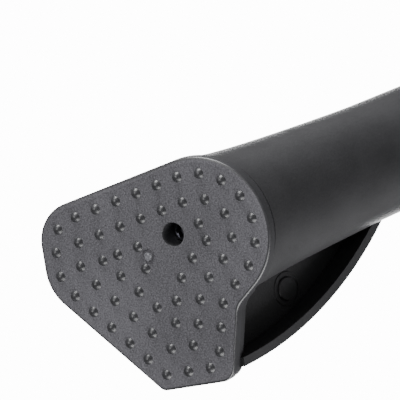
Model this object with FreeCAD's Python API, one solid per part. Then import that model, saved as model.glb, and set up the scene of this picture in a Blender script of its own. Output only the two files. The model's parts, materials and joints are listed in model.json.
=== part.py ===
import FreeCAD, Part
import math
import os
from FreeCAD import Placement, Rotation, Vector

# Bicycle side stand with a widened, studded foot. All sizes are in millimetres and degrees.
# +X is towards the front wheel, +Y outboard to the left, +Z up. The stand is down, its sole level.
# The origin is midway between the two frame bolts, on the face that meets the frame.

# Whole stand
leg_length = 285.0          # pivot to sole, along the leg
lean = 19.8                 # how far the leg stands outboard of upright
tilt = 5.3                  # how far the leg stands forward of upright
swing = 98.0                # from down to up beside the wheel
running = 0.08              # radial gap where a piece slides or turns on another
gap = 0.3                   # gap between pieces that pass each other
loose = 0.1                 # radial gap round a screw or bolt in its hole
seated = 0.05               # radial gap where a piece is pressed or clamped on another
lap = 0.5                   # pieces of one casting run into each other by this much

# Sole, seen from above: sides at a distance from the leg's axis, facing a given way
hub_radius = 16.7           # the round part under the leg
toe_reach = 33.1
toe_angle = -5.0
diagonal_reach = 35.0
diagonal_angle = 44.0
lobe_reach = 39.6           # the wide part, outboard
lobe_angle = 89.0
rear_angle = 165.0
neck_angle = 318.0
toe_side_reach = 9.8
toe_side_angle = 282.5
toe_outer_round = 2.0
diagonal_round = 11.0
lobe_round = 9.5
neck_round = 5.0
toe_inner_round = 3.5

# Sole pad
pad_thickness = 2.6
pad_edge_round = 0.9
pad_line = 0.25             # the shell stands back from the pad's edge by this much
nub_radius = 1.15
nub_height = 0.75
nub_pitch = 5.5             # along a row
nub_first_row = 3.6         # first row to the pad's edge
nub_row_pitch = 5.5
nub_rows = 3
nub_least = 3.6             # no two nubs are nearer than this
nub_to_recess = 0.6
nub_heart_count = 3         # a short row in the middle
nub_heart_start = (7.4, 7.6)
nub_heart_end = (6.6, 21.4)
gate_place = (4.4, 13.5)    # where the moulding's sprue was cut off
gate_radius = 1.7
gate_depth = 0.35
stub_radius = 0.9

# Foot shell
sleeve_wall = 1.9           # round the guide bush
sleeve_length = 150.0       # sole to the sleeve's upper end
flare_height = 56.0
flare_step = 0.33           # share of the flare that is lost close above the sole
flare_step_power = 6.0
flare_power = 1.3
plate_height = 6.3          # upper face of the toe and lobe above the pad's face
plate_round = 1.6
plate_start = 9.0           # how far past the round part the plate's edge begins
spare = 1.0                 # the shell's pieces run this far below its under face, before it is cut
floor_wall = 1.3            # between the insert's hole and the bottom of the sleeve's bore
bore_slack = 0.25           # the bore below the guide bush clears the tube by this much
slit_width = 1.6
slit_depth = 32.0

# Kick tab: a web beside the leg's middle plane, with a curved flange along its edge
tab_foot = 31.0             # flange's outer face to the leg's axis, at the sole
tab_height = 52.0           # where that face reaches the sleeve
tab_curve = 84.6
tab_thickness = 2.0
tab_width = 15.0
tab_offset = 4.7            # the web's middle, outboard of the leg's axis
web_thickness = 2.2
boss_radius = 2.7
boss_rise = 0.45
boss_ring_radius = 3.9
boss_forward = 20.6
boss_height = 25.0

# Screw in the sole
screw_place = (-0.1, 6.6)   # mouth of its recess, from the leg's axis
screw_depth = 2.4           # mouth to the top of the head
screw_head_radius = 2.5
screw_head_height = 1.9
screw_key = 2.5             # across the flats of its socket
screw_key_depth = 1.3
screw_radius = 1.5
screw_step = 1.0            # pad left under the head
pad_boss_radius = 5.0
insert_radius = 2.3
insert_length = 7.0
insert_slack = 0.4          # its hole is deeper by this much

# Tube and what closes it
tube_radius = 10.0
tube_wall = 1.5
plug_to_floor = 8.0         # plug to the bore's bottom, at the shortest setting
plug_length = 14.0
plug_flange = 2.0
plug_wall = 2.0
bush_length = 22.0
bush_wall = 1.2

# Clamp that holds the foot's length
clamp_height = 14.0
clamp_below_top = 2.0
clamp_wall = 2.8
clamp_ear_length = 10.0
clamp_ear_half = 6.5
clamp_bolt_radius = 2.5
clamp_head_radius = 4.25
clamp_head_height = 4.0
clamp_key = 4.0
clamp_key_depth = 2.2
clamp_nut_flats = 8.0
clamp_nut_height = 4.0

# Head of the leg
eye_radius = 12.0
eye_width = 16.0
neck_half = 9.5             # fore and aft
head_shoulder = 38.0        # pivot to the tube's upper end
shoulder_height = 4.0
shoulder_stand = 0.8        # its radius is larger than the tube's by this much
spigot_length = 28.0
tube_pin_radius = 2.0
tube_pin_drops = (8.0, 20.0)    # below the shoulder
stop_lug_half = 6.0
stop_lug_reach = 14.0
stop_lug_foot = 2.0

# Pivot
pivot_radius = 5.0
pivot_bush_wall = 1.5
pivot_bush_length = 7.6
pivot_washer_thickness = 0.8
pivot_washer_radius = 11.0
pivot_head_radius = 8.5
pivot_head_height = 5.0
pivot_key = 6.0
pivot_key_depth = 3.0
pivot_nut_flats = 16.0
pivot_nut_height = 7.5
bolt_past_nut = 1.5         # both the pivot bolt's end and the clamp bolt's

# Detent: a sprung plunger in the bracket, over a groove round the eye
groove_depth = 1.4
plunger_radius = 2.5
plunger_length = 8.0
dimple_radius = 2.6
dimple_depth = 1.6
detent_spring_length = 4.4
detent_wire = 0.5
detent_turns = 4
detent_screw_radius = 3.0
detent_screw_key = 3.0
detent_screw_key_depth = 1.6

# Bracket and its bolts
pivot_out = 25.0            # pivot's middle, outboard of the frame face
pivot_drop = 26.0           # and below the bolts
ear_thickness = 6.0
ear_radius = 13.0
crown_clear = 1.0           # crown above the eye
crown_height = 13.0
plate_end = 10.0            # bolt to the mounting plate's end
mount_height = 22.0
mount_thickness = 8.0
mount_skirt = 18.0          # how far the plate's middle hangs below the bolts
bolt_spacing = 40.0
bolt_radius = 3.0
bolt_shank_radius = 2.7     # a rolled thread leaves the plain part thinner
bolt_stand_out = 12.0
bolt_head_radius = 5.0
bolt_head_height = 6.0
bolt_key = 5.0
bolt_key_depth = 3.0
washer_radius = 6.0
washer_thickness = 1.6
bumper_height = 2.6
bumper_start = 8.0
bumper_end = 12.6

# Frames: the swing plane through the pivot, the leg, the foot on the leg's axis, and the level sole
X = Vector(1, 0, 0)
Y = Vector(0, 1, 0)
Z = Vector(0, 0, 1)
still = Rotation()
lean_frame = Placement(Vector(0, pivot_out, -pivot_drop), Rotation(X, lean))
leg_frame = lean_frame.multiply(Placement(Vector(), Rotation(Y, -tilt)))
foot_frame = leg_frame.multiply(Placement(Vector(0, 0, -leg_length), still))
sole_frame = Placement(foot_frame.Base, still)
screw_base = sole_frame.multVec(Vector(screw_place[0], screw_place[1], 0))
screw_frame = Placement(screw_base, foot_frame.Rotation)

# Sizes that follow from those above
bore_radius = tube_radius + bore_slack
bush_radius = tube_radius + running + bush_wall
sleeve_radius = bush_radius + sleeve_wall
flare_start = pad_thickness - 1.5 * spare
screw_under_head = screw_depth + screw_head_height
boss_top = screw_under_head + screw_step
insert_floor = boss_top + insert_length + insert_slack
bore_floor = insert_floor + floor_wall
tube_foot = bore_floor + plug_to_floor + plug_flange
shoulder_radius = tube_radius + shoulder_stand
tube_bore = tube_radius - tube_wall
eye_bore = pivot_radius + running + pivot_bush_wall
fork_half = eye_width / 2 + pivot_washer_thickness + 2 * running
ear_outside = fork_half + ear_thickness
groove_radius = eye_radius - groove_depth
crown_low = eye_radius + crown_clear
crown_high = crown_low + crown_height
plunger_tip = groove_radius + gap
plunger_top = plunger_tip + plunger_length
detent_screw_low = plunger_top + detent_spring_length
stop_lug_top = crown_low - bumper_height - gap
bolt_hole_radius = bolt_radius + 2 * loose


def placed(shape, frame):
    moved = shape.copy()
    moved.Placement = frame.multiply(moved.Placement)
    return moved


def rod(radius, low, high, axis=Z, round_low=0.0, round_high=0.0):
    """A round bar along axis from low to high, with its end edges bevelled."""
    points = [Vector(0, 0, low), Vector(radius - round_low, 0, low)]
    if round_low:
        points.append(Vector(radius, 0, low + round_low))
    if round_high:
        points.append(Vector(radius, 0, high - round_high))
    points += [Vector(radius - round_high, 0, high), Vector(0, 0, high)]
    face = Part.Face(Part.makePolygon(points + points[:1]))
    return placed(face.revolve(Vector(), Z, 360), Placement(Vector(), Rotation(Z, axis)))


def ring(outer, inner, low, high, axis=Z, edge=0.2):
    return rod(outer, low, high, axis, edge, edge).cut(rod(inner, low - 1, high + 1, axis))


def block(x, y, z, edge=0.0):
    """A box between pairs of limits, with all its edges rounded."""
    box = Part.makeBox(x[1] - x[0], y[1] - y[0], z[1] - z[0], Vector(x[0], y[0], z[0]))
    return box.makeFillet(edge, box.Edges) if edge else box


def hex_bar(flats, low, high, axis=Z):
    corner = flats / math.sqrt(3)
    angles = [math.radians(60 * i) for i in range(7)]
    points = [Vector(corner * math.cos(a), corner * math.sin(a), low) for a in angles]
    bar = Part.Face(Part.makePolygon(points)).extrude(Vector(0, 0, high - low))
    return placed(bar, Placement(Vector(), Rotation(Z, axis)))


def at(shape, x=0.0, y=0.0, z=0.0):
    return placed(shape, Placement(Vector(x, y, z), still))


def joined(shapes):
    return shapes[0].fuse(shapes[1:]).removeSplitter()


# Sole outline

def sole_sides():
    """Each side as the way it faces, its distance from the leg's axis and the round that follows it."""
    return [
        (toe_angle, toe_reach, toe_outer_round),
        (diagonal_angle, diagonal_reach, diagonal_round),
        (lobe_angle, lobe_reach, lobe_round),
        (rear_angle, hub_radius, hub_radius),
        ((rear_angle + neck_angle) / 2, hub_radius, hub_radius),
        (neck_angle, hub_radius, -neck_round),
        (toe_side_angle, toe_side_reach, toe_inner_round),
    ]


def facing(degrees):
    return Vector(math.cos(math.radians(degrees)), math.sin(math.radians(degrees)), 0)


def corner_arc(side, following, inset):
    """Start, middle and end of the arc between two sides. A negative round is a hollow corner."""
    n1 = facing(side[0])
    n2 = facing(following[0])
    bend = side[2] - inset if side[2] < 0 else max(side[2] - inset, 0.3)
    d1 = side[1] - inset - bend
    d2 = following[1] - inset - bend
    cross = n1.x * n2.y - n1.y * n2.x
    centre = Vector((d1 * n2.y - d2 * n1.y) / cross, (n1.x * d2 - n2.x * d1) / cross, 0)
    middle = (n1 + n2).normalize()
    return [centre + n1 * bend, centre + middle * bend, centre + n2 * bend]


def sole_wire(inset):
    sides = sole_sides()
    count = len(sides)
    arcs = [corner_arc(sides[i], sides[(i + 1) % count], inset) for i in range(count)]
    edges = []
    for i, arc in enumerate(arcs):
        edges.append(Part.Arc(*arc).toShape())
        following = arcs[(i + 1) % count][0]
        if arc[2].distanceToPoint(following) > 0.001:
            edges.append(Part.LineSegment(arc[2], following).toShape())
    return Part.Wire(edges)


def sole_slab(inset, low, high):
    return at(Part.Face(sole_wire(inset)), z=low).extrude(Vector(0, 0, high - low))


def edges_at(shape, height):
    boxes = [(e, e.BoundBox) for e in shape.Edges]
    return [e for e, b in boxes if abs(b.ZMin - height) + abs(b.ZMax - height) < 0.01]


# Sole pad

def nub_places():
    """Rows that follow the outline, evenly spaced along each, and a short row in the middle."""
    places = []
    for row in range(nub_rows):
        wire = sole_wire(nub_first_row + row * nub_row_pitch)
        count = round(wire.Length / nub_pitch)
        places += wire.discretize(Number=count + 1)[:-1]
    start = Vector(nub_heart_start[0], nub_heart_start[1], 0)
    end = Vector(nub_heart_end[0], nub_heart_end[1], 0)
    for i in range(nub_heart_count):
        places.append(start + (end - start) * (i / (nub_heart_count - 1)))
    kept_clear = [
        (Vector(screw_place[0], screw_place[1], 0), screw_head_radius + nub_radius + nub_to_recess),
        (Vector(gate_place[0], gate_place[1], 0), gate_radius + 0.3 * nub_radius),
    ]
    kept = []
    for p in places:
        clear = all(p.distanceToPoint(c) > r for c, r in kept_clear)
        if clear and all(p.distanceToPoint(q) > nub_least for q in kept):
            kept.append(p)
    return kept


def nub():
    """A low dome that stands down from the pad's face."""
    sphere = (nub_radius ** 2 + nub_height ** 2) / (2 * nub_height)
    ball = Part.makeSphere(sphere, Vector(0, 0, sphere - nub_height))
    return ball.common(rod(sphere, -nub_height - 1, 0.4))


def pad():
    plate = sole_slab(0, 0, pad_thickness)
    plate = plate.makeFillet(pad_edge_round, edges_at(plate, 0))
    boss = placed(rod(pad_boss_radius, -screw_depth, boss_top), screw_frame)
    boss = boss.cut(placed(block((-60, 60), (-60, 60), (-60, pad_thickness / 2)), sole_frame))
    body = placed(plate, sole_frame).fuse(boss)
    nubs = [placed(at(nub(), p.x, p.y), sole_frame) for p in nub_places()]
    body = body.fuse(nubs)
    head_hole = rod(screw_head_radius + loose, -3 * screw_depth, screw_under_head)
    shank_hole = rod(screw_radius + loose, 0, boss_top + 1)
    cutters = [placed(head_hole, screw_frame), placed(shank_hole, screw_frame), gate_mark()]
    return joined([body.cut(cutters), gate_stub()])


def gate_mark():
    dish = ring(gate_radius, stub_radius, -1, gate_depth, edge=0.05)
    return placed(at(dish, gate_place[0], gate_place[1]), sole_frame)


def gate_stub():
    stub = rod(stub_radius, -gate_depth, gate_depth + loose, round_low=gate_depth / 2)
    return placed(at(stub, gate_place[0], gate_place[1]), sole_frame)


# Foot shell

def flare():
    """Rings from the sole's round part up to the sleeve, turning from level to square with the leg."""
    lifted = sole_frame.multVec(Vector(0, 0, flare_start)) - foot_frame.multVec(Vector(0, 0, flare_start))
    rings = []
    for share in (0.0, 0.06, 0.13, 0.22, 0.34, 0.48, 0.64, 0.8, 0.92, 1.0):
        left = 1 - share
        wide = flare_step * left ** flare_step_power + (1 - flare_step) * left ** flare_power
        level = left ** 2
        radius = sleeve_radius + (hub_radius - pad_line - sleeve_radius) * wide
        turn = Rotation(X, lean * (1 - level)).multiply(Rotation(Y, -tilt * (1 - level)))
        height = flare_start + share * (flare_height - flare_start)
        centre = foot_frame.multVec(Vector(0, 0, height)) + lifted * level
        rings.append(placed(Part.Wire(Part.makeCircle(radius)), Placement(centre, turn)))
    return Part.makeLoft(rings, True, False)


def lobe_plate():
    """The toe and the outboard lobe, left out under the leg, where the flare reaches the pad."""
    slab = sole_slab(pad_line, pad_thickness - spare, plate_height)
    slab = slab.makeFillet(plate_round, edges_at(slab, plate_height))
    far = 3 * lobe_reach
    rear = facing(rear_angle - plate_start) * far
    neck = facing(neck_angle + plate_start) * far
    corners = [Vector(), neck, facing(toe_angle) * far * 2, facing(lobe_angle) * far * 2, rear, Vector()]
    wedge = Part.Face(Part.makePolygon(corners)).extrude(Vector(0, 0, plate_height + 1))
    return placed(slab.common(wedge).Solids[0], sole_frame)


def tab_centre():
    """Centre of the flange's outer arc, through the toe and the place where it meets the sleeve."""
    low = Vector(tab_foot, 0, 0)
    high = Vector(sleeve_radius, 0, tab_height)
    half = (high - low) * 0.5
    away = Vector(half.z, 0, -half.x).normalize()
    reach = math.sqrt(tab_curve ** 2 - half.Length ** 2)
    centre = low + half - away * reach
    return centre if centre.x < low.x else low + half + away * reach


def tab_disc(radius, width, middle):
    centre = tab_centre()
    disc = rod(radius, middle - width / 2, middle + width / 2, Y)
    return at(disc, centre.x, 0, centre.z)


def tab():
    """Web and flange, from the toe up to where the arc runs into the sleeve."""
    keep = block((0, tab_foot + 5), (-40, 40), (-12, tab_height * 2))
    flange = tab_disc(tab_curve, tab_width, tab_offset)
    flange = flange.cut(tab_disc(tab_curve - tab_thickness, tab_width + 2, tab_offset))
    web = tab_disc(tab_curve - tab_thickness / 2, web_thickness, tab_offset)
    face = tab_offset - web_thickness / 2
    disc = rod(boss_radius, face - boss_rise, face + 1, Y, round_low=0.2)
    ridge = ring(boss_ring_radius, boss_ring_radius - 0.35, face - 0.2, face + 1, Y, edge=0.1)
    marks = [at(s, boss_forward, 0, boss_height) for s in (disc, ridge)]
    solid = joined([flange.common(keep), web.common(keep)] + marks)
    below = placed(block((-80, 80), (-80, 80), (-80, pad_thickness + spare)), sole_frame)
    return placed(solid, foot_frame).cut(below).Solids[0]


def slit():
    return block((-sleeve_radius - 2, -tube_radius + 1), (-slit_width / 2, slit_width / 2),
                 (sleeve_length - slit_depth, sleeve_length + 1))


def foot_shell():
    sleeve = rod(sleeve_radius, flare_height, sleeve_length, round_high=0.8)
    under = placed(block((-80, 80), (-80, 80), (-80, pad_thickness)), sole_frame)
    body = flare()
    for piece in (lobe_plate(), placed(sleeve, foot_frame), tab()):
        body = body.fuse(piece)
    body = body.cut(under)
    bore = rod(bore_radius, bore_floor, sleeve_length + 1)
    seat = rod(bush_radius, sleeve_length - bush_length, sleeve_length + 1)
    for cutter in (bore, seat, slit()):
        body = body.cut(placed(cutter, foot_frame))
    pocket = rod(pad_boss_radius + loose, -2 * boss_top, boss_top + loose)
    hole = rod(insert_radius, 0, insert_floor)
    return body.cut([placed(s, screw_frame) for s in (pocket, hole)])


def foot_screw():
    head = rod(screw_head_radius, screw_depth, screw_under_head, round_low=0.3)
    head = head.cut(hex_bar(screw_key, screw_depth - 1, screw_depth + screw_key_depth))
    shank = rod(screw_radius, screw_under_head - lap, boss_top + insert_length)
    return placed(joined([head, shank]), screw_frame)


def screw_insert():
    low = boss_top + 2 * loose
    return placed(ring(insert_radius, screw_radius, low, boss_top + insert_length), screw_frame)


def guide_bush():
    body = ring(bush_radius, tube_radius + running, sleeve_length - bush_length, sleeve_length)
    return placed(body.cut(slit()), foot_frame)


# Clamp round the sleeve's upper end

def clamp_levels():
    high = sleeve_length - clamp_below_top
    return high - clamp_height, high


def clamp_bolt_place():
    low, high = clamp_levels()
    return -(sleeve_radius + clamp_wall + clamp_ear_length / 2), (low + high) / 2


def clamp_collar():
    low, high = clamp_levels()
    x, z = clamp_bolt_place()
    outer = sleeve_radius + clamp_wall
    across = (-clamp_ear_half, clamp_ear_half)
    ears = block((-outer - clamp_ear_length, -sleeve_radius), across, (low, high), 1.2)
    body = joined([rod(outer, low, high, Z, 0.8, 0.8), ears])
    bore = rod(sleeve_radius + seated, low - 1, high + 1)
    split = block((x - clamp_ear_length, 0), (-slit_width / 2, slit_width / 2), (low - 1, high + 1))
    hole = at(rod(clamp_bolt_radius + loose, -clamp_ear_half - 1, clamp_ear_half + 1, Y), x, 0, z)
    return placed(body.cut([bore, split, hole]), foot_frame)


def clamp_bolt():
    x, z = clamp_bolt_place()
    far = clamp_ear_half + clamp_head_height
    head = rod(clamp_head_radius, clamp_ear_half, far, Y, round_high=0.4)
    head = head.cut(hex_bar(clamp_key, far - clamp_key_depth, far + 1, Y))
    tip = clamp_ear_half + clamp_nut_height + bolt_past_nut
    shank = rod(clamp_bolt_radius, -tip, clamp_ear_half + lap, Y, 0.4)
    return placed(at(joined([head, shank]), x, 0, z), foot_frame)


def clamp_nut():
    x, z = clamp_bolt_place()
    body = hex_bar(clamp_nut_flats, -clamp_ear_half - clamp_nut_height, -clamp_ear_half, Y)
    body = body.cut(rod(clamp_bolt_radius, -40, 40, Y))
    return placed(at(body, x, 0, z), foot_frame)


# Leg

def pin_heights():
    return [-head_shoulder - drop for drop in tube_pin_drops]


def across_leg(radius):
    return [at(rod(radius, -tube_radius - 2, tube_radius + 2, Y), z=h) for h in pin_heights()]


def leg_tube():
    body = ring(tube_radius, tube_bore, -leg_length + tube_foot, -head_shoulder, edge=0.3)
    return placed(body.cut(across_leg(tube_pin_radius)), leg_frame)


def tube_plug():
    end = -leg_length + tube_foot
    flange = rod(bore_radius - running, end - plug_flange, end, Z, 0.5)
    core = rod(tube_bore - seated, end - lap, end + plug_length, Z, 0, 1.0)
    core = core.cut(rod(tube_bore - plug_wall, end + plug_flange, end + plug_length + 1))
    return placed(joined([flange, core]), leg_frame)


def tube_pins():
    half = tube_radius - loose
    pin = rod(tube_pin_radius, -half, half, Y, 0.3, 0.3)
    return placed(Part.makeCompound([at(pin, z=h) for h in pin_heights()]), leg_frame)


def dimple(turn):
    ball = Part.makeSphere(dimple_radius, Vector(0, 0, groove_radius + dimple_radius - dimple_depth))
    return placed(ball, Placement(Vector(), Rotation(Y, -turn)))


def leg_head():
    """Eye, neck and spigot along the leg; stop lug, groove and notches set by the bracket."""
    half = eye_width / 2
    eye = rod(eye_radius, -half, half, Y, 0.6, 0.6)
    neck = block((-neck_half, neck_half), (-half, half), (-head_shoulder + 1, 0), 2.0)
    shoulder = rod(shoulder_radius, -head_shoulder, -head_shoulder + shoulder_height, Z, 0, 0.8)
    spigot = rod(tube_bore - seated, -head_shoulder - spigot_length, -head_shoulder + 1, Z, 1.0)
    along = joined([eye, neck, shoulder, spigot]).cut(across_leg(tube_pin_radius))
    lug = block((0, stop_lug_reach), (-stop_lug_half, stop_lug_half), (stop_lug_foot, stop_lug_top), 0.8)
    body = joined([placed(along, leg_frame), placed(lug, lean_frame)])
    outside = rod(eye_radius + 1, -plunger_radius - gap, plunger_radius + gap, Y)
    groove = outside.cut(rod(groove_radius, -eye_width, eye_width, Y))
    keep = block((-40, eye_radius / 2), (-20, 20), (-eye_radius / 2, 40))
    cutters = [groove.common(keep), rod(eye_bore, -eye_width, eye_width, Y), dimple(0), dimple(swing)]
    return body.cut([placed(s, lean_frame) for s in cutters])


def pivot_bushes():
    half = eye_width / 2
    one = ring(eye_bore, pivot_radius + running, half - pivot_bush_length, half, Y)
    other = ring(eye_bore, pivot_radius + running, -half, -half + pivot_bush_length, Y)
    return placed(Part.makeCompound([one, other]), lean_frame)


# Pivot and detent, held by the bracket

def pivot_bolt():
    head = rod(pivot_head_radius, ear_outside, ear_outside + pivot_head_height, Y, 0, 1.4)
    key = hex_bar(pivot_key, ear_outside + pivot_head_height - pivot_key_depth, ear_outside + 20, Y)
    tip = ear_outside + pivot_nut_height + bolt_past_nut
    shank = rod(pivot_radius, -tip, ear_outside + lap, Y, 0.8)
    return placed(joined([head.cut(key), shank]), lean_frame)


def pivot_nut():
    low = -ear_outside - pivot_nut_height
    body = hex_bar(pivot_nut_flats, low, -ear_outside, Y)
    body = body.common(rod(pivot_nut_flats / math.sqrt(3), low, -ear_outside, Y, 1.0))
    return placed(body.cut(rod(pivot_radius, -60, 60, Y)), lean_frame)


def pivot_washers():
    low = eye_width / 2 + running
    one = ring(pivot_washer_radius, pivot_radius + running, low, low + pivot_washer_thickness, Y, 0.1)
    other = ring(pivot_washer_radius, pivot_radius + running, -low - pivot_washer_thickness, -low, Y, 0.1)
    return placed(Part.makeCompound([one, other]), lean_frame)


def detent_plunger():
    tip = plunger_tip + plunger_radius
    body = joined([Part.makeSphere(plunger_radius, Vector(0, 0, tip)),
                   rod(plunger_radius, tip, plunger_top, Z, 0, 0.3)])
    return placed(body, lean_frame)


def detent_spring():
    """A coil between the plunger and its backing screw, of half turns that each climb half a pitch."""
    radius = plunger_radius - detent_wire
    count = 2 * detent_turns
    climb = (detent_spring_length - detent_wire) / count
    halves = []
    for i in range(count):
        side = radius if i % 2 == 0 else -radius
        start = Vector(side, 0, i * climb)
        centre = Vector(0, 0, (i + 0.5) * climb)
        axis = (start - centre).cross(Y if side > 0 else -Y)
        wire = Part.Face(Part.Wire(Part.makeCircle(detent_wire / 2, start, Y)))
        halves.append(wire.revolve(centre, axis, 180))
    return placed(at(joined(halves), z=plunger_top + detent_wire / 2), lean_frame)


def detent_screw():
    body = rod(detent_screw_radius, detent_screw_low, crown_high, Z, 0.3, 0.3)
    key = hex_bar(detent_screw_key, crown_high - detent_screw_key_depth, crown_high + 1)
    return placed(body.cut(key), lean_frame)


# Bracket

def fork():
    """Two ears and the crown that joins them over the eye and runs inboard to the mounting plate."""
    ears = []
    for side in (-1, 1):
        low, high = sorted((side * fork_half, side * ear_outside))
        eye = rod(ear_radius, low, high, Y, 0.8 if side < 0 else 0, 0.8 if side > 0 else 0)
        ears.append(eye)
        ears.append(block((-ear_radius, ear_radius), (low, high), (0, crown_low + 2)))
    inboard = max(pivot_out, ear_outside)
    crown = block((-ear_radius, ear_radius), (-inboard, ear_outside), (crown_low, crown_high), 1.6)
    body = joined(ears + [crown])
    cutters = [
        rod(pivot_radius + seated, -60, 60, Y),
        rod(plunger_radius + running, 0, crown_high),
        rod(detent_screw_radius, detent_screw_low, crown_high + 1),
    ]
    return placed(body.cut(cutters), lean_frame)


def mount_plate():
    ends = bolt_spacing / 2 + plate_end - mount_height / 2
    bar = block((-ends, ends), (0, mount_thickness), (-mount_height / 2, mount_height / 2))
    caps = [at(rod(mount_height / 2, 0, mount_thickness, Y), x=side * ends) for side in (-1, 1)]
    skirt = block((-ear_radius, ear_radius), (0, mount_thickness), (-mount_skirt, 0))
    body = joined([bar, skirt] + caps)
    outer = [e for e in body.Edges if abs(e.BoundBox.YMin - mount_thickness) < 0.01]
    return body.makeFillet(1.2, outer)


def bolt_places():
    return [-bolt_spacing / 2, bolt_spacing / 2]


def mount_bracket():
    body = joined([mount_plate(), fork()])
    holes = [at(rod(bolt_hole_radius, -5, mount_thickness + 5, Y), x=x) for x in bolt_places()]
    wheel_side = block((-60, 60), (-60, 0), (-90, 60))
    return body.cut(holes + [wheel_side])


def mount_bolts():
    seat = mount_thickness + washer_thickness
    top = seat + bolt_head_height
    head = rod(bolt_head_radius, seat, top, Y, 0, 0.6)
    head = head.cut(hex_bar(bolt_key, top - bolt_key_depth, top + 1, Y))
    shank = rod(bolt_shank_radius, -lap, seat + lap, Y)
    thread = rod(bolt_radius, -bolt_stand_out, 0, Y, 0.6)
    one = joined([head, shank, thread])
    return Part.makeCompound([at(one, x=x) for x in bolt_places()])


def mount_washers():
    one = ring(washer_radius, bolt_hole_radius, mount_thickness, mount_thickness + washer_thickness, Y)
    return Part.makeCompound([at(one, x=x) for x in bolt_places()])


def stop_bumper():
    across = (-stop_lug_half, stop_lug_half)
    body = block((bumper_start, bumper_end), across, (crown_low - bumper_height, crown_low), 0.5)
    return placed(body, lean_frame)


nodes = {
    "mount_bracket": mount_bracket,
    "mount_bolts": mount_bolts,
    "mount_washers": mount_washers,
    "stop_bumper": stop_bumper,
    "pivot_bolt": pivot_bolt,
    "pivot_nut": pivot_nut,
    "pivot_washers": pivot_washers,
    "detent_plunger": detent_plunger,
    "detent_spring": detent_spring,
    "detent_screw": detent_screw,
    "leg_head": leg_head,
    "pivot_bushes": pivot_bushes,
    "leg_tube": leg_tube,
    "tube_pins": tube_pins,
    "tube_plug": tube_plug,
    "foot_shell": foot_shell,
    "sole_pad": pad,
    "foot_screw": foot_screw,
    "screw_insert": screw_insert,
    "guide_bush": guide_bush,
    "clamp_collar": clamp_collar,
    "clamp_bolt": clamp_bolt,
    "clamp_nut": clamp_nut,
}

os.makedirs("parts", exist_ok=True)
for name, make in nodes.items():
    shape = make()
    shape.exportStep("parts/" + name + ".step")
    print(name, "solids", len(shape.Solids), "valid", shape.isValid(), "volume", round(shape.Volume))
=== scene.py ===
import json
import bpy
import numpy as np
from mathutils import Matrix, Vector


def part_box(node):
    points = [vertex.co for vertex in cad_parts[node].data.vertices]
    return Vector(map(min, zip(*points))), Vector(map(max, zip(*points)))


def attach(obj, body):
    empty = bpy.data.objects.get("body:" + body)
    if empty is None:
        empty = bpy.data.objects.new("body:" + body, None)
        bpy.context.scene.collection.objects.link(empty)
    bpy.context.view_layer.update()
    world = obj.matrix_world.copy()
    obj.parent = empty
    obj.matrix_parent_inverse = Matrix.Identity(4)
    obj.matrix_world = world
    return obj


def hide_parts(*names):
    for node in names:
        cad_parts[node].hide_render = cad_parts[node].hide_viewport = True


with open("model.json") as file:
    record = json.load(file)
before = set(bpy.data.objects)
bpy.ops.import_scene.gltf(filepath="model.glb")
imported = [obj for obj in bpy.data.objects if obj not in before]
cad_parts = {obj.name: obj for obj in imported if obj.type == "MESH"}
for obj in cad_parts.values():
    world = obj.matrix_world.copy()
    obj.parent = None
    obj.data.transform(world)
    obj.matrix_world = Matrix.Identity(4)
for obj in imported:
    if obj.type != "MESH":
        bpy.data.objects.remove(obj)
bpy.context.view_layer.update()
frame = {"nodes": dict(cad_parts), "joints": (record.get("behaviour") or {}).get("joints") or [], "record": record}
print("frame loaded:", len(frame["nodes"]), "nodes")

mm = 0.001
sharpFrom = 38  # degrees between faces, from which an edge shows as sharp
joints = {joint["name"]: joint for joint in frame["joints"]}
pivot = Vector(joints["leg_swing"]["pos_m"])
pinLine = Vector(joints["leg_swing"]["axis"]).normalized()
legUp = -Vector(joints["leg_extend"]["axis"]).normalized()
soleMount = next(mount for mount in frame["record"]["mounts"] if mount["name"] == "sole")
soleLevel = soleMount["pos_m"][2]
soleCentre = pivot - legUp * ((pivot.z - soleLevel) / legUp.z)  # where the leg's own line meets the sole
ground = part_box("sole_pad")[0].z

# camera: close under the sole, a little behind and inboard of it
cameraLook = dict(
    right=(0.144, -0.885, 0.432),
    up=(-0.974, -0.068, 0.183),
    distance=0.9,  # far enough that the leg hardly tapers
    across=0.0865,  # metres seen across the picture
    shiftRight=0.0,
    shiftUp=0.0071,
    sensor=36.0,
    clip=(0.01, 10.0),
)


def makeCamera(look):
    right = Vector(look["right"]).normalized()
    up = Vector(look["up"])
    up = (up - right * up.dot(right)).normalized()
    back = right.cross(up)
    camera = bpy.data.objects.new("camera", bpy.data.cameras.new("camera"))
    bpy.context.scene.collection.objects.link(camera)
    target = soleCentre + right * look["shiftRight"] + up * look["shiftUp"]
    turn = Matrix((right, up, back)).transposed().to_4x4()
    camera.matrix_world = Matrix.Translation(target + back * look["distance"]) @ turn
    camera.data.sensor_width = look["sensor"]
    camera.data.lens = camera.data.sensor_width * look["distance"] / look["across"]
    camera.data.clip_start, camera.data.clip_end = look["clip"]
    bpy.context.scene.camera = camera
    return right, up, back


viewRight, viewUp, viewBack = makeCamera(cameraLook)
print("camera set")


def linear(hexColour):
    # sRGB hex to linear: value / 12.92 below 0.04045, else ((value + 0.055) / 1.055) to the power 2.4
    value = np.array([int(hexColour[i:i + 2], 16) for i in (1, 3, 5)]) / 255
    out = np.where(value <= 0.04045, value / 12.92, ((value + 0.055) / 1.055) ** 2.4)
    return tuple(float(v) for v in out) + (1.0,)


def addNode(tree, kind, settings=None, links=None):
    # settings are properties or input values, links join its inputs to other nodes' outputs
    node = tree.nodes.new(kind)
    for key, value in (settings or {}).items():
        if isinstance(key, int) or key in node.inputs:
            node.inputs[key].default_value = value
        else:
            setattr(node, key, value)
    for key, source in (links or {}).items():
        tree.links.new(source, node.inputs[key])
    return node


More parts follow.
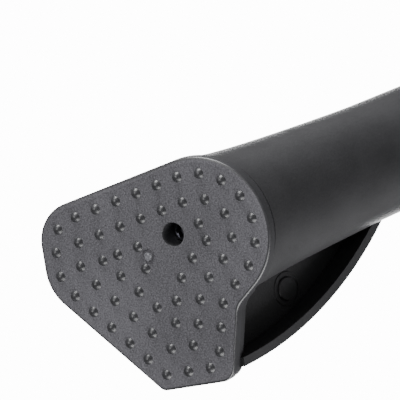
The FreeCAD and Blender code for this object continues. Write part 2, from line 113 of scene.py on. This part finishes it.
def newMaterial(name, constants):
    made = bpy.data.materials.new(name)
    made.use_nodes = True
    tree = made.node_tree
    shader = next(node for node in tree.nodes if node.type == "BSDF_PRINCIPLED")
    for key, value in constants.items():
        shader.inputs[key].default_value = value
    place = addNode(tree, "ShaderNodeTexCoord").outputs["Object"]
    return made, tree, shader, place


def colourFrom(tree, shader, source, low, dark, high, light):
    node = addNode(tree, "ShaderNodeValToRGB", links={"Fac": source})
    for stop, position, colour in zip(node.color_ramp.elements, (low, high), (dark, light)):
        stop.position = position
        stop.color = linear(colour)
    tree.links.new(node.outputs["Color"], shader.inputs["Base Color"])


# what all grains and all drawn lines share: noise detail, colour stops, and relief as a share of the grain
grainRule = dict(detail=3.0, roughness=0.6, cloudDetail=2.0, cloudShare=0.3, low=0.36, high=0.64, rise=0.35)
lineRule = dict(detail=2.0, low=0.3, high=0.7, smoothest=0.8, roughest=1.25, rise=0.2)


def grained(look):
    # fine noise gives the grain's relief, colour and gloss, and broad noise clouds its colour slightly
    constants = {"Metallic": look.get("metallic", 0.0), "Specular IOR Level": look.get("specular", 0.5)}
    made, tree, shader, place = newMaterial(look["name"], constants)
    grain = look["grain"] * mm
    settings = {"Scale": 1 / grain, "Detail": grainRule["detail"], "Roughness": grainRule["roughness"]}
    fine = addNode(tree, "ShaderNodeTexNoise", settings, {"Vector": place}).outputs["Fac"]
    settings = {"Scale": 1 / (look.get("cloud", 9.0) * mm), "Detail": grainRule["cloudDetail"]}
    broad = addNode(tree, "ShaderNodeTexNoise", settings, {"Vector": place}).outputs["Fac"]
    settings = {"data_type": "FLOAT", 0: grainRule["cloudShare"]}
    both = addNode(tree, "ShaderNodeMix", settings, {2: fine, 3: broad}).outputs[0]
    colourFrom(tree, shader, both, grainRule["low"], look["dark"], grainRule["high"], look["light"])
    rough, spread = look["roughness"], look.get("spread", 0.06)
    settings = {"To Min": rough - spread, "To Max": rough + spread}
    gloss = addNode(tree, "ShaderNodeMapRange", settings, {"Value": both})
    tree.links.new(gloss.outputs["Result"], shader.inputs["Roughness"])
    settings = {"Strength": look["relief"], "Distance": grain * grainRule["rise"]}
    bump = addNode(tree, "ShaderNodeBump", settings, {"Height": fine})
    tree.links.new(bump.outputs["Normal"], shader.inputs["Normal"])
    return made


def drawn(look):
    # noise squeezed across a line and drawn out along it gives the fine lines of drawing or turning
    made, tree, shader, place = newMaterial(look["name"], {"Metallic": look["metallic"]})
    turn = Vector(look["along"]).rotation_difference(Vector((0, 0, 1))).to_euler()
    turned = addNode(tree, "ShaderNodeMapping", {"Rotation": turn}, {"Vector": place}).outputs[0]
    pulled = addNode(tree, "ShaderNodeMapping", {"Scale": look["pull"]}, {"Vector": turned}).outputs[0]
    settings = {"Scale": 1 / (look["line"] * mm), "Detail": lineRule["detail"]}
    lines = addNode(tree, "ShaderNodeTexNoise", settings, {"Vector": pulled}).outputs["Fac"]
    colourFrom(tree, shader, lines, lineRule["low"], look["dark"], lineRule["high"], look["light"])
    settings = {"To Min": look["roughness"] * lineRule["smoothest"],
                "To Max": look["roughness"] * lineRule["roughest"]}
    gloss = addNode(tree, "ShaderNodeMapRange", settings, {"Value": lines})
    tree.links.new(gloss.outputs["Result"], shader.inputs["Roughness"])
    settings = {"Strength": look["relief"], "Distance": look["line"] * mm * lineRule["rise"]}
    bump = addNode(tree, "ShaderNodeBump", settings, {"Height": lines})
    tree.links.new(bump.outputs["Normal"], shader.inputs["Normal"])
    return made


# glass-filled nylon, moulded in a spark-eroded tool: near black, satin, even grain about 0.25 mm across
nylon = grained(dict(name="glassFilledNylon", dark="#1d1d1f", light="#2c2c2e", grain=0.26,
                     relief=0.42, roughness=0.44, spread=0.07))
# thermoplastic rubber, moulded in a coarsely etched tool: mid grey and dull, grain about 0.45 mm across
etchedPad = grained(dict(name="etchedRubberPad", dark="#37363a", light="#626166", grain=0.36,
                         relief=0.9, roughness=0.60, spread=0.08, specular=0.4, cloud=30.0))
# the same rubber, darker as painted shade, on the nubs, the edge's round, the wall and the recess; where the tool
# was drilled smooth for the nubs it is glossier, with a small soft highlight
paintedShadeRubber = grained(dict(name="smoothRubberPaintedShade", dark="#232325", light="#303033", grain=0.3,
                         relief=0.15, roughness=0.40, spread=0.05))
# the same rubber torn where its sprue was cut: paler and rough
tornRubber = grained(dict(name="tornRubber", dark="#48484c", light="#77777c", grain=0.6,
                          relief=1.0, roughness=0.45, spread=0.1))
# solid rubber block: black, dull and even
blackRubber = grained(dict(name="blackRubber", dark="#141414", light="#1e1e1e", grain=0.3,
                           relief=0.25, roughness=0.75, spread=0.05))
# powder coat on die-cast aluminium: satin black with an orange-peel ripple about 0.7 mm across
powderCoat = grained(dict(name="powderCoat", dark="#1d1d1f", light="#262628", grain=0.7,
                          relief=0.22, roughness=0.40, spread=0.05))
# natural acetal, turned: off-white and slightly waxy
acetal = grained(dict(name="turnedAcetal", dark="#cfcdc4", light="#dedcd4", grain=0.5,
                      relief=0.05, roughness=0.38, spread=0.04))
# black-oxide steel: dark metal with a faint sheen
blackOxide = grained(dict(name="blackOxideSteel", dark="#2a2a2e", light="#44444a", grain=0.35,
                          relief=0.12, roughness=0.36, spread=0.08, metallic=1.0))
# bright zinc plate: pale metal, slightly clouded
zincPlate = grained(dict(name="brightZincPlate", dark="#a7aaad", light="#c6c8ca", grain=0.5,
                         relief=0.08, roughness=0.30, spread=0.08, metallic=1.0, cloud=4.0))
# sintered bronze: brown-gold and porous
bronze = grained(dict(name="sinteredBronze", dark="#8f7040", light="#b08c55", grain=0.2,
                      relief=0.3, roughness=0.45, spread=0.08, metallic=1.0))
# turned brass: rings 0.2 mm apart round the screw's line
brass = drawn(dict(name="turnedBrass", dark="#b8923f", light="#d0aa55", along=legUp, line=0.2,
                   pull=(0.05, 0.05, 1.0), roughness=0.28, relief=0.15, metallic=1.0))
# drawn aluminium tube, black anodised: fine lines along its length under a satin film
anodised = drawn(dict(name="blackAnodisedTube", dark="#1b1b1d", light="#2d2d30", along=legUp, line=0.25,
                      pull=(1.0, 1.0, 0.04), roughness=0.34, relief=0.12, metallic=0.85))

finishes = {
    "cast_black": powderCoat,
    "steel_zinc": zincPlate,
    "steel_black": blackOxide,
    "tube_black": anodised,
    "nylon_black": nylon,
    "sole_grey": etchedPad,
    "acetal": acetal,
    "bronze": bronze,
    "brass": brass,
    "bumper_rubber": blackRubber,
}
for entry in frame["record"]["subparts"]:
    node = frame["nodes"][entry["node"]]
    node.data.materials.clear()
    node.data.materials.append(finishes[entry["material_slot"]])
print("materials set")


def nodePoints(name):
    mesh = frame["nodes"][name].data
    points = np.empty(len(mesh.vertices) * 3)
    mesh.vertices.foreach_get("co", points)
    return points.reshape(-1, 3)


def gridFaces(rows, around, first):
    # quads between neighbouring rings of a grid that closes on itself sideways, numbered from first
    row = np.arange(rows - 1)[:, None] * around + first
    column = np.arange(around)
    following = (column + 1) % around
    corners = [row + column, row + following, row + around + following, row + around + column]
    return np.stack(corners, -1).reshape(-1, 4)


def capFaces(around, start, tip):
    # triangles from one ring to a single point
    column = np.arange(around)
    return np.stack([start + column, start + (column + 1) % around, np.full(around, tip)], -1)


def ringSurface(rings, foot=None, top=None):
    # rings of points, each end closed by a point of its own
    rows, around = rings.shape[:2]
    foot = rings[0].mean(axis=0) if foot is None else foot
    top = rings[-1].mean(axis=0) if top is None else top
    points = np.vstack([rings.reshape(-1, 3), foot, top])
    count = rows * around
    faces = [gridFaces(rows, around, 0), capFaces(around, 0, count)[:, ::-1],
             capFaces(around, count - around, count + 1)]
    return points, faces


def insideOut(points, faces):
    # the volume that the faces shut in, as tetrahedra to the origin, is negative when they point inwards
    total = 0.0
    for group in faces:
        for i in range(1, group.shape[1] - 1):
            a, b, c = points[group[:, 0]], points[group[:, i]], points[group[:, i + 1]]
            total += np.sum(np.cross(a, b) * c)
    return total < 0


def newPiece(name, parts, body, node):
    # parts are (points, groups of faces, a material for each group), each turned outwards by itself
    allPoints, allFaces, allFinish, used, start = [], [], [], [], 0
    for points, faces, materials in parts:
        turned = insideOut(points, faces)
        for group, material in zip(faces, materials):
            used += [material] if material not in used else []
            allFaces += ((group[:, ::-1] if turned else group) + start).tolist()
            allFinish += [used.index(material)] * len(group)
        allPoints.append(points)
        start += len(points)
    mesh = bpy.data.meshes.new(name)
    mesh.from_pydata(np.vstack(allPoints).tolist(), [], allFaces)
    for material in used:
        mesh.materials.append(material)
    mesh.polygons.foreach_set("material_index", allFinish)
    mesh.validate()
    mesh.shade_smooth()
    mesh.set_sharp_from_angle(angle=np.radians(sharpFrom))
    piece = bpy.data.objects.new(name, mesh)
    bpy.context.scene.collection.objects.link(piece)
    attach(piece, body)
    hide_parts(node)
    return piece


# sole: each side is the way it faces, its distance from the leg's line and the round that follows
soleLook = dict(
    sides=[(-5, 33.1, 2), (44, 35, 11), (89, 39.6, 9.5), (165, 16.7, 16.7), (241.5, 16.7, 16.7),
           (318, 16.7, -5), (282.5, 9.8, 3.5)],
    thickness=2.6,
    edgeRound=0.55,
    rim=0.3,  # width of the fine bead inside the edge
    rimRise=0.05,
    nubRadius=1.15,
    nubHeight=0.75,
    recess=(-0.1, 6.6),  # middle of the screw recess's mouth, from the leg's line
    recessRadius=2.6,
    recessDepth=4.3,
    screwHole=1.6,
    gate=(4.4, 13.5),
    gateRadius=1.7,
    gateDepth=0.35,
    stubRadius=0.9,
    mouthFlare=1.02,  # the recess is this much wider at the face
    mouthLip=0.12,  # and its wall ends this far above the face
    ringSpread=0.9,  # power that spreads the face's rings
    beadPlace=2,  # in rims, from the edge's round
    wallRings=9,
    bossWall=2.2,
    bossFloor=0.9,
    hidden=0.02,  # keeps rings that would meet apart
    nubSteps=8,
    nubAround=24,
    nubTip=0.12,  # the last ring's radius, as a share
    nubRoot=0.3,  # how far nubs go up into the pad
    stubAround=36,
    stubRings=((1.0, 0.45), (1.0, 0.0), (0.96, -0.16), (0.62, -0.30), (0.25, -0.24)),  # share, rise
    stubWaves=((0.10, 3, 0.6), (0.05, 7, 0.0)),  # size, count round it, turn
    stubSlope=(0.10, 0.8),  # rise and the way it faces
    around=560,
    across=110,
)


def soleOutline(look, perArc):
    # each round is an arc that touches two sides: its centre is a round's length in from both
    sides = np.array(look["sides"], float)
    nextSides = np.roll(sides, -1, axis=0)
    facing = np.stack([np.cos(np.radians(sides[:, 0])), np.sin(np.radians(sides[:, 0]))], -1)
    nextFacing = np.roll(facing, -1, axis=0)
    bend = sides[:, 2:3]
    reach = sides[:, 1:2] - bend
    nextReach = nextSides[:, 1:2] - bend
    cross = facing[:, :1] * nextFacing[:, 1:] - facing[:, 1:] * nextFacing[:, :1]
    x = (reach * nextFacing[:, 1:] - nextReach * facing[:, 1:]) / cross
    y = (facing[:, :1] * nextReach - nextFacing[:, :1] * reach) / cross
    centre = np.concatenate([x, y], 1)
    turn = np.radians((nextSides[:, 0] - sides[:, 0] + 180) % 360 - 180)
    share = np.linspace(0, 1, perArc)[None, :]
    angle = np.radians(sides[:, :1]) + turn[:, None] * share
    arcs = centre[:, None] + bend[:, None] * np.stack([np.cos(angle), np.sin(angle)], -1)
    return arcs.reshape(-1, 2)


def outlineReach(outline, centre, angles):
    # distance from centre to the outline along each angle: the far crossing of the ray and the edges
    a = outline - centre
    b = np.roll(outline, -1, axis=0) - centre
    ray = np.stack([np.cos(angles), np.sin(angles)], -1)[:, None]
    edge = (b - a)[None]
    cross = ray[..., 0] * edge[..., 1] - ray[..., 1] * edge[..., 0]
    safe = np.where(np.abs(cross) < 1e-12, 1e-12, cross)
    far = (a[None, :, 0] * edge[..., 1] - a[None, :, 1] * edge[..., 0]) / safe
    along = (a[None, :, 0] * ray[..., 1] - a[None, :, 1] * ray[..., 0]) / safe
    return np.where((along >= -1e-6) & (along <= 1 + 1e-6) & (far > 0), far, 0).max(axis=1)


def smoothStep(value, low, high):
    share = np.clip((value - low) / (high - low), 0, 1)
    return share * share * (3 - 2 * share)


def edgeDistance(outline, points):
    # distance to the nearest outline edge, measured square to it
    a, b = outline, np.roll(outline, -1, axis=0)
    span = b - a
    length = np.maximum((span ** 2).sum(-1), 1e-12)
    out = np.empty(len(points))
    for chunk in np.array_split(np.arange(len(points)), 40):
        p = points[chunk][:, None]
        share = np.clip(((p - a) * span).sum(-1) / length, 0, 1)
        out[chunk] = np.linalg.norm(p - a - share[..., None] * span, axis=-1).min(axis=1)
    return out


def solePad(look):
    # the face runs in rings from the recess out to the outline; its height is a bead near the edge,
    # exp(-((distance in from the edge - bead's place) / rim) squared), and a dish at the gate;
    # the rest is the edge's round, the wall, the back and the recess
    outline = soleOutline(look, 24)
    hole = np.array(look["recess"])
    angles = np.linspace(0, 2 * np.pi, look["around"], endpoint=False)
    ray = np.stack([np.cos(angles), np.sin(angles)], -1)
    reach = outlineReach(outline, hole, angles)
    lean = np.array([legUp.x, legUp.y]) / legUp.z  # how far the recess moves sideways for each step up
    near = look["recessRadius"] * look["mouthFlare"]
    share = np.linspace(0, 1, look["across"])[:, None] ** look["ringSpread"]
    inner = reach - look["edgeRound"]
    flat = hole + ray[None] * (near + (inner - near)[None] * share)[..., None]
    fromEdge = edgeDistance(outline, flat.reshape(-1, 2)).reshape(flat.shape[:2])
    beadPlace = look["edgeRound"] + look["beadPlace"] * look["rim"]
    bead = np.exp(-((fromEdge - beadPlace) / look["rim"]) ** 2)
    fromGate = np.linalg.norm(flat - np.array(look["gate"]), axis=-1)
    dish = smoothStep(fromGate, look["gateRadius"] - 0.3, look["gateRadius"])
    dish = (1 - dish) * smoothStep(fromGate, look["stubRadius"] - 0.1, look["stubRadius"] + 0.2)
    height = look["gateDepth"] * dish - look["rimRise"] * bead
    face = np.concatenate([flat, height[..., None]], -1)
    quarter = np.linspace(0, np.pi / 2, 8)[1:, None]
    out = inner + look["edgeRound"] * np.sin(quarter)
    lift = np.broadcast_to(look["edgeRound"] * (1 - np.cos(quarter)), out.shape)
    edge = np.concatenate([hole + ray[None] * out[..., None], lift[..., None]], -1)
    wallTop = np.concatenate([edge[-1:, :, :2], np.full((1, len(angles), 1), look["thickness"])], -1)

    def tilted(radius, depth):
        mid = hole + lean * depth
        flatRing = mid + ray * radius
        return np.concatenate([flatRing, np.full((len(angles), 1), depth)], -1)[None]

    radius, deep = look["recessRadius"], look["recessDepth"]
    mouth = [tilted(radius, depth) for depth in np.linspace(deep, look["mouthLip"], look["wallRings"])]
    floorRings = [tilted(look["screwHole"], deep + look["hidden"]), tilted(radius * 0.98, deep)]
    bossRadius, bossTop = radius + look["bossWall"], deep + look["bossFloor"]
    outside = [tilted(bossRadius, look["thickness"] + look["hidden"]), tilted(bossRadius, bossTop)]
    back = [tilted(look["screwHole"], bossTop), tilted(look["screwHole"], deep + 0.5)]
    rings = np.concatenate(floorRings + mouth + [face, edge, wallTop] + outside + back)
    points = rings.reshape(-1, 3) * mm + np.array(soleCentre)
    around = len(angles)
    first = len(floorRings) + len(mouth)
    shut = gridFaces(len(rings), around, 0)
    ring = np.arange(len(shut)) // around
    etched = (ring >= first) & (ring < first + len(face) - 1)
    last = (len(rings) - 1) * around + np.arange(around)
    close = np.stack([last, np.roll(last, -1), (np.arange(around) + 1) % around, np.arange(around)], -1)
    return points, [shut[etched], shut[~etched], close]


def nubDomes(look):
    # each nub is part of a ball: height = rise * (1 - (r / radius) squared), with a round skirt at its foot
    lowest = nodePoints("sole_pad")
    lowest = lowest[lowest[:, 2] < ground + 0.02 * mm][:, :2]
    apart = np.linalg.norm(lowest[:, None] - lowest[None], axis=-1) < look["nubRadius"] * mm
    centres = np.unique(np.round([lowest[near].mean(axis=0) for near in apart], 6), axis=0)
    share = np.linspace(1, look["nubTip"], look["nubSteps"])[:, None]
    angle = np.linspace(0, 2 * np.pi, look["nubAround"], endpoint=False)[None]
    radius = look["nubRadius"] * share
    x, y = radius * np.cos(angle), radius * np.sin(angle)
    z = -look["nubHeight"] * (1 - share ** 2) + 0 * angle
    dome = np.stack([x, y, z], -1)
    root = np.array([0, 0, look["nubRoot"]])
    skirt = dome[:1] * np.array([1, 1, 0]) + root
    rings = np.concatenate([skirt, dome])
    points, faces = ringSurface(rings, foot=root, top=np.array([0, 0, -look["nubHeight"]]))
    count = len(points)
    base = np.column_stack([centres, np.full(len(centres), soleLevel)])
    everyPoint = (points[None] * mm + base[:, None]).reshape(-1, 3)
    offset = np.arange(len(centres))[:, None, None] * count
    print("nubs:", len(centres))
    return everyPoint, [(group[None] + offset).reshape(-1, group.shape[1]) for group in faces]


def gateStub(look):
    # a broken stump: a short column whose radius is torn in waves, sum of size * sin(count * angle + turn),
    # and whose top slopes
    angle = np.linspace(0, 2 * np.pi, look["stubAround"], endpoint=False)
    torn = 1 + sum(size * np.sin(count * angle + turn) for size, count, turn in look["stubWaves"])
    slope, facing = look["stubSlope"]
    rings = []
    for share, rise in look["stubRings"]:
        radius = look["stubRadius"] * share * torn
        z = rise + (slope * np.cos(angle - facing) if rise < 0 else 0 * angle)
        rings.append(np.stack([radius * np.cos(angle), radius * np.sin(angle), z], -1))
    points, faces = ringSurface(np.array(rings))
    place = np.array([soleCentre.x, soleCentre.y, soleLevel]) + np.array(look["gate"] + (0.0,)) * mm
    return points * mm + place, faces


# the nubs, the edge's round, the wall and the recess take the darker rubber, which is painted shade
newPiece("soleFace", [
    solePad(soleLook) + ([etchedPad, paintedShadeRubber, paintedShadeRubber],),
    nubDomes(soleLook) + ([paintedShadeRubber] * 3,),
    gateStub(soleLook) + ([tornRubber] * 3,),
], "foot", "sole_pad")
print("sole made")

# bolts and screws: head, hex socket, plain part and thread, each down its own line from the head's top
boltLooks = dict(
    mount_bolts=dict(axis=(0, 1, 0), head=6.0, headRadius=5.0, bevel=0.6, key=5.0, keyDepth=3.0,
                     shank=2.7, thread=3.0, pitch=1.0, threaded=12.0),
    pivot_bolt=dict(axis=tuple(pinLine), head=5.0, headRadius=8.5, bevel=1.6, key=6.0, keyDepth=3.0,
                    shank=5.0, thread=5.0, pitch=1.5, threaded=9.6),
    clamp_bolt=dict(axis=tuple(pinLine), head=4.0, headRadius=4.25, bevel=0.5, key=4.0, keyDepth=2.2,
                    shank=2.5, thread=2.5, pitch=0.8, threaded=6.2),
    foot_screw=dict(axis=tuple(-legUp), head=1.9, headRadius=2.5, bevel=0.35, key=2.5, keyDepth=1.3,
                    shank=1.5, thread=1.5, pitch=0.5, threaded=7.6),
)

# what all the bolts share, in mm unless a line says otherwise
boltRule = dict(
    around=72,
    tipRadius=0.25,  # the socket's drilled tip, as a share of its width
    tipDepth=1.12,  # as a share of its depth
    lip=0.30,  # depth at which the socket's countersink begins
    bevelSteps=5,
    underEdge=0.12,
    fillet=0.15,
    stepsPerTurn=8,
    cut=0.55,  # depth of the thread, as a share of its pitch
    root=0.7,  # power that rounds the thread's crest
    runOut=0.4,
    tipCut=0.45,  # in pitches, how far the end tapers
    tipLength=0.6,
    endCut=0.62,
)


def boltShape(look, length):
    # rings down the bolt: radius is round, hexagonal in the socket (apothem / cos of the angle from its
    # flat), or a thread's crest less its depth times a rounded saw in (depth down / pitch - turn)
    rule = boltRule
    angle = np.linspace(0, 2 * np.pi, rule["around"], endpoint=False)
    flatAngle = (angle % (np.pi / 3)) - np.pi / 6
    hexagon = look["key"] / 2 / np.cos(flatAngle)
    rings = []

    def addRing(radius, depth):
        rings.append(np.stack([radius * np.cos(angle), radius * np.sin(angle), depth + 0 * angle], -1))

    addRing(rule["tipRadius"] * hexagon, look["keyDepth"] * rule["tipDepth"])
    addRing(0.98 * hexagon, look["keyDepth"])
    addRing(hexagon, look["keyDepth"] - 0.08)
    addRing(hexagon, rule["lip"])
    addRing(np.maximum(hexagon, look["key"] * 0.545) + 0.12, 0.06)
    addRing(np.maximum(hexagon, look["key"] * 0.56) + 0.22, 0.0)
    for share in np.linspace(0, 1, rule["bevelSteps"]):
        turn = share * np.pi / 2
        addRing(look["headRadius"] - look["bevel"] * (1 - np.sin(turn)), look["bevel"] * (1 - np.cos(turn)))
    addRing(look["headRadius"], look["head"] - rule["underEdge"])
    addRing(look["headRadius"] - rule["underEdge"], look["head"])
    addRing(look["shank"] + rule["fillet"], look["head"])
    addRing(look["shank"], look["head"] + rule["fillet"])
    start = length - look["threaded"]
    addRing(look["shank"], start)
    pitch = look["pitch"]
    for depth in np.arange(start + 0.05, length - 0.05, pitch / rule["stepsPerTurn"]):
        saw = 0.5 - 0.5 * np.cos(2 * np.pi * depth / pitch - angle)
        fade = smoothStep(depth, start, start + pitch)
        fade *= smoothStep(-depth, -length, -length + rule["runOut"])
        tip = rule["tipCut"] * pitch * smoothStep(depth, length - rule["tipLength"] * pitch, length)
        addRing(look["thread"] - rule["cut"] * pitch * (1 - saw ** rule["root"]) * fade - tip, depth)
    addRing(look["thread"] - rule["endCut"] * pitch, length)
    return np.array(rings)


def makeBolt(node, look):
    # the bolt's line and length come from the CAD piece: the middle of its reach to each side, and its ends
    axis = np.array(look["axis"], float)
    side = np.cross(axis, [1.0, 0, 0])
    side /= np.linalg.norm(side)
    other = np.cross(axis, side)
    points = nodePoints(node)
    groups = [points[points[:, 0] < 0], points[points[:, 0] > 0]] if node == "mount_bolts" else [points]
    parts = []
    for group in groups:
        along = group @ axis
        middle = [0.5 * ((group @ d).max() + (group @ d).min()) for d in (side, other)]
        top = axis * along.max() + side * middle[0] + other * middle[1]
        shape = boltShape(look, (along.max() - along.min()) / mm) * mm
        placed = top + shape[..., :1] * side + shape[..., 1:2] * other - shape[..., 2:] * axis
        made, faces = ringSurface(placed)
        parts.append((made, faces, [blackOxide] * 3))
    body = next(entry for entry, names in frame["record"]["behaviour"]["bodies"].items() if node in names)
    newPiece(node.split("_")[0] + "Threaded", parts, body, node)


for node, look in boltLooks.items():
    makeBolt(node, look)
print("bolts made")

# stage: a level floor under the sole, seen only from above, that fades out into the white behind it
floorLook = dict(half=0.6, fadeFrom=0.16, fadeTo=0.55, pale="#f6f6f6", glow=1.3, drop=0.0001)


def makeFloor(look):
    # pale matt paper lit a little from behind: clear from its back, so that the sole shows from below
    constants = {"Base Color": linear(look["pale"]), "Roughness": 0.9, "Specular IOR Level": 0.1,
                 "Emission Color": (1, 1, 1, 1), "Emission Strength": look["glow"]}
    made, tree, shader, place = newMaterial("floorPaper", constants)
    clear = addNode(tree, "ShaderNodeBsdfTransparent")
    back = addNode(tree, "ShaderNodeNewGeometry").outputs["Backfacing"]
    away = addNode(tree, "ShaderNodeVectorMath", {"operation": "LENGTH"}, {0: place}).outputs["Value"]
    settings = {"interpolation_type": "SMOOTHSTEP",
                "From Min": look["fadeFrom"], "From Max": look["fadeTo"]}
    fade = addNode(tree, "ShaderNodeMapRange", settings, {"Value": away}).outputs["Result"]
    factor = addNode(tree, "ShaderNodeMath", {"operation": "MAXIMUM"}, {0: back, 1: fade}).outputs[0]
    both = addNode(tree, "ShaderNodeMixShader", {}, {0: factor, 1: shader.outputs[0], 2: clear.outputs[0]})
    output = next(node for node in tree.nodes if node.type == "OUTPUT_MATERIAL")
    tree.links.new(both.outputs[0], output.inputs["Surface"])
    corners = [(a * look["half"], b * look["half"], 0) for a, b in ((-1, -1), (1, -1), (1, 1), (-1, 1))]
    mesh = bpy.data.meshes.new("floor")
    mesh.from_pydata(corners, [], [(0, 1, 2, 3)])
    mesh.materials.append(made)
    floor = bpy.data.objects.new("floor", mesh)
    floor.location = (soleCentre.x, soleCentre.y, ground - look["drop"])
    floor.visible_shadow = False  # it catches shade and throws none on the sole
    floor.visible_diffuse = False
    floor.visible_glossy = False
    bpy.context.scene.collection.objects.link(floor)


makeFloor(floorLook)
print("floor set")


# soft discs round the sole: the way to each, how far off and how wide it is in metres, and its watts
lampLooks = dict(
    topSoft=dict(way=viewUp * 1.0 + viewBack * 0.1 - viewRight * 0.3, distance=0.6, size=0.35, watts=9.5),
    faceSoft=dict(way=viewBack * 1.0 - viewRight * 0.9 + viewUp * 0.3, distance=0.7, size=0.4, watts=3.6),
    lowSoft=dict(way=viewBack * 0.25 + viewRight * 0.6 - viewUp * 1.0, distance=0.6, size=0.6, watts=9.0),
    skySoft=dict(way=Vector((0.2, 0.5, 1.0)), distance=0.9, size=0.7, watts=10.0),
)


def areaLight(name, look):
    lamp = bpy.data.lights.new(name, "AREA")
    lamp.shape = "DISK"
    lamp.size = look["size"]
    lamp.energy = look["watts"]
    light = bpy.data.objects.new(name, lamp)
    away = look["way"].normalized()
    turn = away.to_track_quat("Z", "Y").to_matrix().to_4x4()
    light.matrix_world = Matrix.Translation(soleCentre + away * look["distance"]) @ turn
    bpy.context.scene.collection.objects.link(light)


for lampName, look in lampLooks.items():
    areaLight(lampName, look)

worldLook = dict(lit=0.25, seen=14.0)  # soft light on the object, and the white that stands behind it
world = bpy.data.worlds.new("studio")
bpy.context.scene.world = world
world.use_nodes = True
backdrop = next(node for node in world.node_tree.nodes if node.type == "BACKGROUND")
backdrop.inputs["Color"].default_value = (1, 1, 1, 1)
isSeen = addNode(world.node_tree, "ShaderNodeLightPath").outputs["Is Camera Ray"]
settings = {"To Min": worldLook["lit"], "To Max": worldLook["seen"]}
strength = addNode(world.node_tree, "ShaderNodeMapRange", settings, {"Value": isSeen})
world.node_tree.links.new(strength.outputs["Result"], backdrop.inputs["Strength"])
print("lights set")
